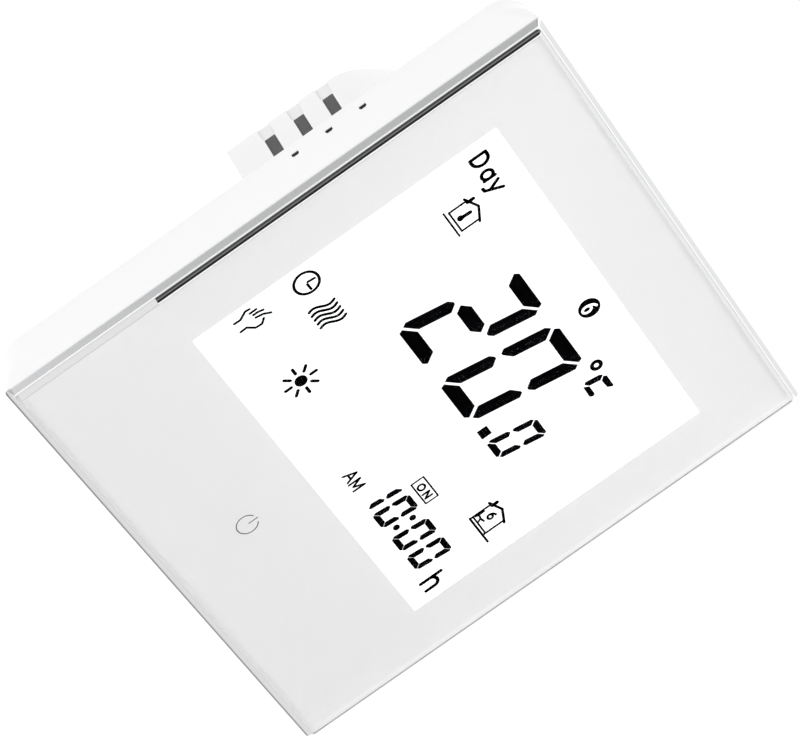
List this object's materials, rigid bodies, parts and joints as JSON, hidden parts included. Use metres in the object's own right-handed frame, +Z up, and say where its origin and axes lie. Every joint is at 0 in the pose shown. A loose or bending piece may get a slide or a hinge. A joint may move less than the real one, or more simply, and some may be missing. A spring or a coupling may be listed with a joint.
{
  "type": "programmable timer",
  "caption": "Square glass-fronted touch room thermostat and heating timer with a segment display, a clip-on panel, a rear box and screw terminals.",
  "frame": {"origin": "centre of the wall plane, midway between the two wall screw slots", "axes": "+X to the right seen from the front, +Y into the wall, +Z up; the glass faces -Y"},
  "size_m": [0.086, 0.0379, 0.086],
  "materials": {
    "clear_glass": "polished",
    "white_print": "matt",
    "tape": "matt",
    "silver_frame": "satin silver",
    "white_plastic": "fine matt",
    "polariser": "clear",
    "display_glass": "clear",
    "white_sheet": "matt",
    "clear_acrylic": "polished",
    "black_rubber": "matt",
    "board_green": "satin",
    "board_parts": "matt",
    "lamp": "gloss",
    "tinned_steel": "bright",
    "screw_steel": "zinc plated",
    "gold_pin": "polished",
    "black_plastic": "matt",
    "copper": "satin",
    "yellow_tape": "satin",
    "core_steel": "matt",
    "relay_blue": "satin",
    "grey_plastic": "satin",
    "varistor_blue": "satin",
    "terminal_plastic": "matt",
    "galvanised": "zinc plated",
    "cell_steel": "bright"
  },
  "bodies": {
    "base": {"mounting_plate": "galvanised", "plate_screws": "screw_steel", "rear_box": "white_plastic", "box_lid": "white_plastic", "power_board": "board_green", "power_board_screws": "screw_steel", "board_socket": "black_plastic", "transformer_core": "core_steel", "transformer_winding": "yellow_tape", "transformer_bobbin": "black_plastic", "relay_case": "relay_blue", "relay_base": "black_plastic", "relay_coil": "copper", "relay_yoke": "tinned_steel", "relay_fixed_contact": "copper", "fuse": "grey_plastic", "film_capacitor": "yellow_tape", "smoothing_capacitors": "black_plastic", "varistor": "varistor_blue", "power_board_parts": "board_parts", "terminal_block": "terminal_plastic", "terminal_bars": "copper"},
    "panel": {"front_glass": "clear_glass", "mask_film": "white_print", "glass_tape": "tape", "front_frame": "silver_frame", "front_polariser": "polariser", "lcd_front_sheet": "display_glass", "lcd_rear_sheet": "display_glass", "rear_polariser": "polariser", "diffuser_sheet": "white_sheet", "light_guide": "clear_acrylic", "reflector_sheet": "white_sheet", "lcd_holder": "white_plastic", "contact_strip": "black_rubber", "backlight_lamps": "lamp", "control_board": "board_green", "control_board_screws": "screw_steel", "touch_springs": "tinned_steel", "control_board_parts": "board_parts", "beeper": "black_plastic", "cell_holder": "black_plastic", "backup_cell": "cell_steel", "room_sensor": "board_parts", "board_plug": "black_plastic", "plug_pins": "gold_pin", "rear_cover": "white_plastic"},
    "relay_armature": {"relay_armature": "tinned_steel"},
    "cage_1": {"terminal_cage_1": "tinned_steel"},
    "screw_1": {"terminal_screw_1": "screw_steel"},
    "cage_2": {"terminal_cage_2": "tinned_steel"},
    "screw_2": {"terminal_screw_2": "screw_steel"},
    "cage_3": {"terminal_cage_3": "tinned_steel"},
    "screw_3": {"terminal_screw_3": "screw_steel"},
    "cage_4": {"terminal_cage_4": "tinned_steel"},
    "screw_4": {"terminal_screw_4": "screw_steel"},
    "cage_5": {"terminal_cage_5": "tinned_steel"},
    "screw_5": {"terminal_screw_5": "screw_steel"},
    "cage_6": {"terminal_cage_6": "tinned_steel"},
    "screw_6": {"terminal_screw_6": "screw_steel"}
  },
  "joints": [
    {"name": "panel_pull", "type": "slide", "parent": "base", "child": "panel", "axis": [0, -1, 0], "range_m": [0, 0.04]},
    {"name": "relay_armature_hinge", "type": "hinge", "parent": "base", "child": "relay_armature", "pos_m": [0.01025, 0.0164, 0.0136], "axis": [1, 0, 0], "range_deg": [-2.6, 0], "stiffness_Nm_per_rad": 0.02, "springref_deg": 2.86},
    {"name": "terminal_cage_1_rise", "type": "slide", "parent": "base", "child": "cage_1", "axis": [0, 1, 0], "range_m": [0, 0.0034]},
    {"name": "terminal_screw_1_turn", "type": "hinge", "parent": "base", "child": "screw_1", "pos_m": [-0.0175, 0.0171, -0.013], "axis": [0, -1, 0], "range_deg": [0, 2450]},
    {"name": "terminal_cage_2_rise", "type": "slide", "parent": "base", "child": "cage_2", "axis": [0, 1, 0], "range_m": [0, 0.0034]},
    {"name": "terminal_screw_2_turn", "type": "hinge", "parent": "base", "child": "screw_2", "pos_m": [-0.0105, 0.0171, -0.013], "axis": [0, -1, 0], "range_deg": [0, 2450]},
    {"name": "terminal_cage_3_rise", "type": "slide", "parent": "base", "child": "cage_3", "axis": [0, 1, 0], "range_m": [0, 0.0034]},
    {"name": "terminal_screw_3_turn", "type": "hinge", "parent": "base", "child": "screw_3", "pos_m": [-0.0035, 0.0171, -0.013], "axis": [0, -1, 0], "range_deg": [0, 2450]},
    {"name": "terminal_cage_4_rise", "type": "slide", "parent": "base", "child": "cage_4", "axis": [0, 1, 0], "range_m": [0, 0.0034]},
    {"name": "terminal_screw_4_turn", "type": "hinge", "parent": "base", "child": "screw_4", "pos_m": [0.0035, 0.0171, -0.013], "axis": [0, -1, 0], "range_deg": [0, 2450]},
    {"name": "terminal_cage_5_rise", "type": "slide", "parent": "base", "child": "cage_5", "axis": [0, 1, 0], "range_m": [0, 0.0034]},
    {"name": "terminal_screw_5_turn", "type": "hinge", "parent": "base", "child": "screw_5", "pos_m": [0.0105, 0.0171, -0.013], "axis": [0, -1, 0], "range_deg": [0, 2450]},
    {"name": "terminal_cage_6_rise", "type": "slide", "parent": "base", "child": "cage_6", "axis": [0, 1, 0], "range_m": [0, 0.0034]},
    {"name": "terminal_screw_6_turn", "type": "hinge", "parent": "base", "child": "screw_6", "pos_m": [0.0175, 0.0171, -0.013], "axis": [0, -1, 0], "range_deg": [0, 2450]}
  ],
  "couplings": [
    {"joint": "terminal_screw_1_turn", "follows": "terminal_cage_1_rise", "rad_per_m": 12566},
    {"joint": "terminal_screw_2_turn", "follows": "terminal_cage_2_rise", "rad_per_m": 12566},
    {"joint": "terminal_screw_3_turn", "follows": "terminal_cage_3_rise", "rad_per_m": 12566},
    {"joint": "terminal_screw_4_turn", "follows": "terminal_cage_4_rise", "rad_per_m": 12566},
    {"joint": "terminal_screw_5_turn", "follows": "terminal_cage_5_rise", "rad_per_m": 12566},
    {"joint": "terminal_screw_6_turn", "follows": "terminal_cage_6_rise", "rad_per_m": 12566}
  ]
}
